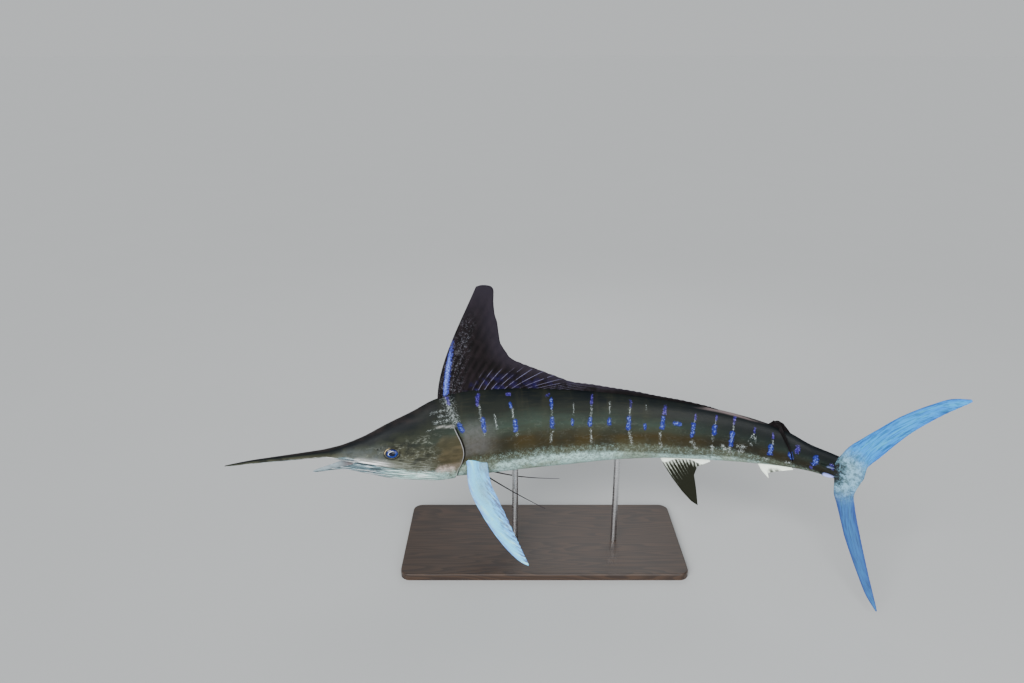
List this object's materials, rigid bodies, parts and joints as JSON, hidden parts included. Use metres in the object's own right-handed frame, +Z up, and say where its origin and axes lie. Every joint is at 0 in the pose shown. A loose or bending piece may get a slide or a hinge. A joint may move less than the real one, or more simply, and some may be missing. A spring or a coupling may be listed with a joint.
{
  "type": "striped marlin model on a display stand",
  "caption": "Still life-size model of a striped marlin turning as it swims, held on two short rods over a flat base plate.",
  "frame": {"origin": "centre of the underside of the stand's base plate, on the floor", "axes": "+Z up, +X along the fish from head to tail, -Y on the fish's left side"},
  "size_m": [2.5023, 1.1036, 1.1493],
  "materials": {
    "skin": "wet-looking dark olive to slate skin, silver belly, blue broken bars",
    "bill": "satin dark brown",
    "pale_skin": "silvery white with grey streaks",
    "gill_cover": "warm brown, pinkish at the lower edge",
    "eye": "high gloss deep blue iris, navy pupil",
    "dark_fin": "satin brown-purple with violet streaks",
    "pale_fin": "satin pale blue-white with blue edges",
    "base": "dark stained, satin lacquer",
    "rod": "satin brushed"
  },
  "bodies": {
    "root": {"bill": "bill", "head": "skin", "lower_jaw": "pale_skin", "gill_cover_left": "gill_cover", "gill_cover_right": "gill_cover", "eye_left": "eye", "eye_right": "eye", "trunk_front": "skin", "trunk_rear": "skin", "tail_stalk": "skin", "dorsal_fin_crest": "dark_fin", "dorsal_fin_rear": "dark_fin", "dorsal_fin_second": "dark_fin", "anal_fin_first": "dark_fin", "anal_fin_second": "pale_fin", "pectoral_fin_left": "pale_fin", "pectoral_fin_right": "pale_fin", "pelvic_fin_left": "dark_fin", "pelvic_fin_right": "dark_fin", "caudal_lobe_upper": "pale_fin", "caudal_lobe_lower": "pale_fin", "stand_base": "base", "stand_rod_front": "rod", "stand_rod_rear": "rod"}
  },
  "joints": []
}
